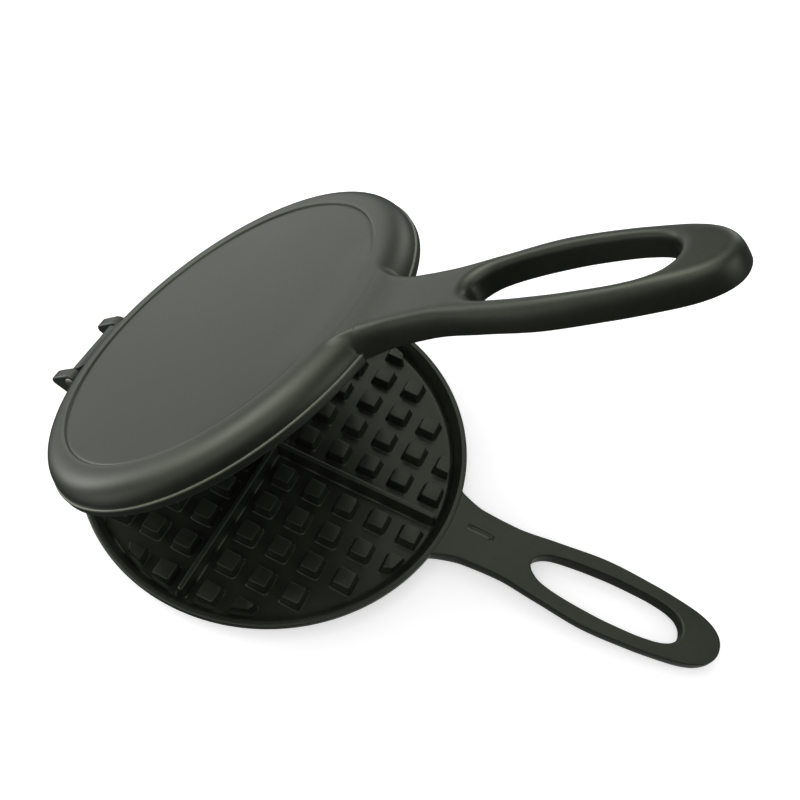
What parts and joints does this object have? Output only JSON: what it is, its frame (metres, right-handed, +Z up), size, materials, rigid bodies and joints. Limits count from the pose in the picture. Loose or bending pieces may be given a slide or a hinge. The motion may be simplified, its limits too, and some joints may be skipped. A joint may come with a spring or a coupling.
{
  "type": "stovetop waffle iron",
  "caption": "Round cast iron waffle iron for a stovetop, standing open on its pinned hinge, with a grid of pegs in each plate and slotted loop handles.",
  "frame": {"origin": "on the surface the iron stands on, under the middle of its length from ear tip to handle tip", "axes": "+X from the plate towards the handle tips, +Y along the hinge pin, +Z up"},
  "size_m": [0.347, 0.19, 0.2348],
  "materials": {
    "seasoned_iron": "seasoned satin black",
    "pin_steel": "dulled steel"
  },
  "bodies": {
    "lower": {"lower_half": "seasoned_iron", "hinge_pin": "pin_steel"},
    "upper": {"upper_half": "seasoned_iron"}
  },
  "joints": [
    {"name": "lid", "type": "hinge", "parent": "lower", "child": "upper", "pos_m": [-0.16, 0, 0.0176], "axis": [0, -1, 0], "range_deg": [-39.15, 70.7]}
  ]
}
